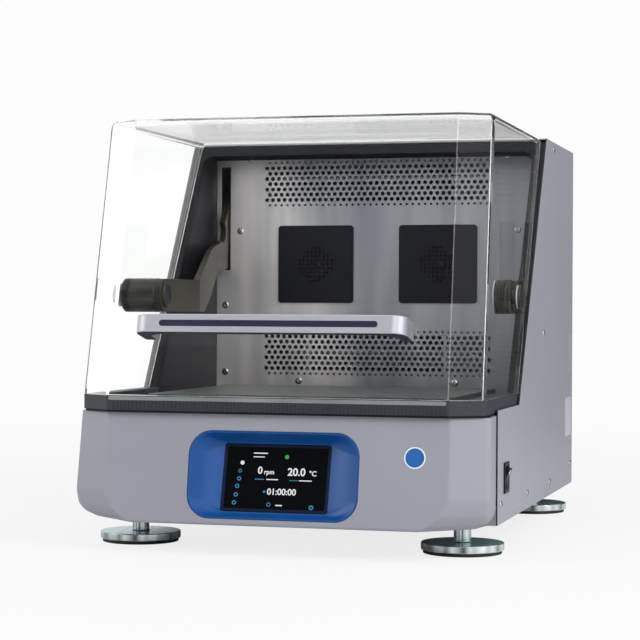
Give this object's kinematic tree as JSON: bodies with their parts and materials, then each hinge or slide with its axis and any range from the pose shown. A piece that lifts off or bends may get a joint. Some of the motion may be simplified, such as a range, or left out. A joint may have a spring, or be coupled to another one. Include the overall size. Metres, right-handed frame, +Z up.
{
  "type": "incubated benchtop shaker",
  "caption": "Benchtop incubated shaker: painted casing, clear hood that tilts up on side arms, orbiting platform in a heated chamber, front display and levelling feet.",
  "frame": {"origin": "centre of the footprint on the table, under the middle of the whole object", "axes": "+X to the right seen from the front, +Y to the back, +Z up"},
  "size_m": [0.439, 0.6245, 0.4484],
  "materials": {
    "casing_paint": "satin light grey",
    "sheet_steel": "plain sheet",
    "surround_blue": "glossy blue",
    "screen_glass": "black display",
    "brushed_wall": "brushed",
    "platform_alloy": "satin",
    "liner_dark": "dark grey",
    "rim_dark": "dark blue-grey",
    "seal_rubber": "matt",
    "black_plastic": "black",
    "cast_alloy": "as cast",
    "arm_coat": "satin olive-grey",
    "steel_bright": "polished",
    "cast_iron": "rough",
    "belt_rubber": "matt",
    "clear_acrylic": "clear",
    "handle_alloy": "satin silver",
    "inlay_navy": "navy",
    "board_green": "green",
    "supply_case": "folded sheet",
    "foot_chrome": "bright",
    "pad_rubber": "matt"
  },
  "bodies": {
    "chassis": {"front_bezel": "casing_paint", "display_surround": "surround_blue", "touch_screen": "screen_glass", "side_panel_left": "casing_paint", "side_panel_right": "casing_paint", "rear_panel": "casing_paint", "top_cover": "casing_paint", "base_pan": "sheet_steel", "chamber_tub": "sheet_steel", "chamber_liner": "liner_dark", "back_wall": "brushed_wall", "rim": "rim_dark", "opening_seal": "seal_rubber", "fan_grille_left": "black_plastic", "fan_grille_right": "black_plastic", "fan_motor_left": "cast_alloy", "fan_motor_right": "cast_alloy", "heater": "steel_bright", "switch_housing": "black_plastic", "mains_inlet": "black_plastic", "hinge_brackets": "sheet_steel", "idler_housings": "cast_alloy", "bearing_housing": "cast_alloy", "main_bearings": "steel_bright", "drive_belt": "belt_rubber", "drive_motor": "cast_alloy", "control_board": "board_green", "power_supply": "supply_case", "foot_nuts": "steel_bright", "panel_screws": "steel_bright"},
    "hood": {"hood_shell": "clear_acrylic", "handle_bar": "handle_alloy", "handle_inlay": "inlay_navy", "handle_screws": "steel_bright", "hood_arm_left": "arm_coat", "hood_arm_right": "arm_coat", "arm_spacers": "arm_coat", "arm_bolts": "steel_bright", "hinge_shaft": "steel_bright"},
    "drive_shaft": {"eccentric_shaft": "steel_bright", "driven_pulley": "cast_alloy", "counterweight": "cast_iron"},
    "shaking_platform": {"platform": "platform_alloy", "platform_screws": "steel_bright", "platform_carriage": "platform_alloy"},
    "motor_rotor": {"motor_pulley": "cast_alloy"},
    "idler_left": {"idler_crank_left": "steel_bright"},
    "idler_right": {"idler_crank_right": "steel_bright"},
    "idler_rear": {"idler_crank_rear": "steel_bright"},
    "fan_left": {"fan_wheel_left": "black_plastic"},
    "fan_right": {"fan_wheel_right": "black_plastic"},
    "power_rocker": {"switch_rocker": "black_plastic"},
    "levelling_foot_front_left": {"foot_front_left": "foot_chrome", "foot_pad_front_left": "pad_rubber"},
    "levelling_foot_front_right": {"foot_front_right": "foot_chrome", "foot_pad_front_right": "pad_rubber"},
    "levelling_foot_rear_left": {"foot_rear_left": "foot_chrome", "foot_pad_rear_left": "pad_rubber"},
    "levelling_foot_rear_right": {"foot_rear_right": "foot_chrome", "foot_pad_rear_right": "pad_rubber"}
  },
  "joints": [
    {"name": "hood_tilt", "type": "hinge", "parent": "chassis", "child": "hood", "pos_m": [0, 0.1807, 0.4095], "axis": [-1, 0, 0], "range_deg": [0, 60]},
    {"name": "shaft_spin", "type": "hinge", "parent": "chassis", "child": "drive_shaft", "pos_m": [0, -0.0803, 0.08], "axis": [0, 0, 1], "continuous": true},
    {"name": "platform_orbit", "type": "hinge", "parent": "drive_shaft", "child": "shaking_platform", "pos_m": [0, -0.0708, 0.145], "axis": [0, 0, 1], "continuous": true},
    {"name": "motor_spin", "type": "hinge", "parent": "chassis", "child": "motor_rotor", "pos_m": [0, 0.0907, 0.05], "axis": [0, 0, 1], "continuous": true},
    {"name": "idler_left_spin", "type": "hinge", "parent": "chassis", "child": "idler_left", "pos_m": [-0.115, -0.1603, 0.12], "axis": [0, 0, 1], "continuous": true},
    {"name": "idler_right_spin", "type": "hinge", "parent": "chassis", "child": "idler_right", "pos_m": [0.115, -0.1603, 0.12], "axis": [0, 0, 1], "continuous": true},
    {"name": "idler_rear_spin", "type": "hinge", "parent": "chassis", "child": "idler_rear", "pos_m": [0, 0.0197, 0.12], "axis": [0, 0, 1], "continuous": true},
    {"name": "fan_left_spin", "type": "hinge", "parent": "chassis", "child": "fan_left", "pos_m": [-0.076, 0.1607, 0.303], "axis": [0, 1, 0], "continuous": true},
    {"name": "fan_right_spin", "type": "hinge", "parent": "chassis", "child": "fan_right", "pos_m": [0.076, 0.1607, 0.303], "axis": [0, 1, 0], "continuous": true},
    {"name": "switch_rock", "type": "hinge", "parent": "chassis", "child": "power_rocker", "pos_m": [0.211, -0.1693, 0.076], "axis": [0, -1, 0], "range_deg": [0, 16]},
    {"name": "foot_front_left_adjust", "type": "slide", "parent": "chassis", "child": "levelling_foot_front_left", "axis": [0, 0, -1], "range_m": [0, 0.01]},
    {"name": "foot_front_right_adjust", "type": "slide", "parent": "chassis", "child": "levelling_foot_front_right", "axis": [0, 0, -1], "range_m": [0, 0.01]},
    {"name": "foot_rear_left_adjust", "type": "slide", "parent": "chassis", "child": "levelling_foot_rear_left", "axis": [0, 0, -1], "range_m": [0, 0.01]},
    {"name": "foot_rear_right_adjust", "type": "slide", "parent": "chassis", "child": "levelling_foot_rear_right", "axis": [0, 0, -1], "range_m": [0, 0.01]}
  ],
  "couplings": [
    {"joint": "platform_orbit", "follows": "shaft_spin", "ratio": -1},
    {"joint": "motor_spin", "follows": "shaft_spin", "ratio": 3},
    {"joint": "idler_left_spin", "follows": "shaft_spin", "ratio": 1},
    {"joint": "idler_right_spin", "follows": "shaft_spin", "ratio": 1},
    {"joint": "idler_rear_spin", "follows": "shaft_spin", "ratio": 1}
  ]
}
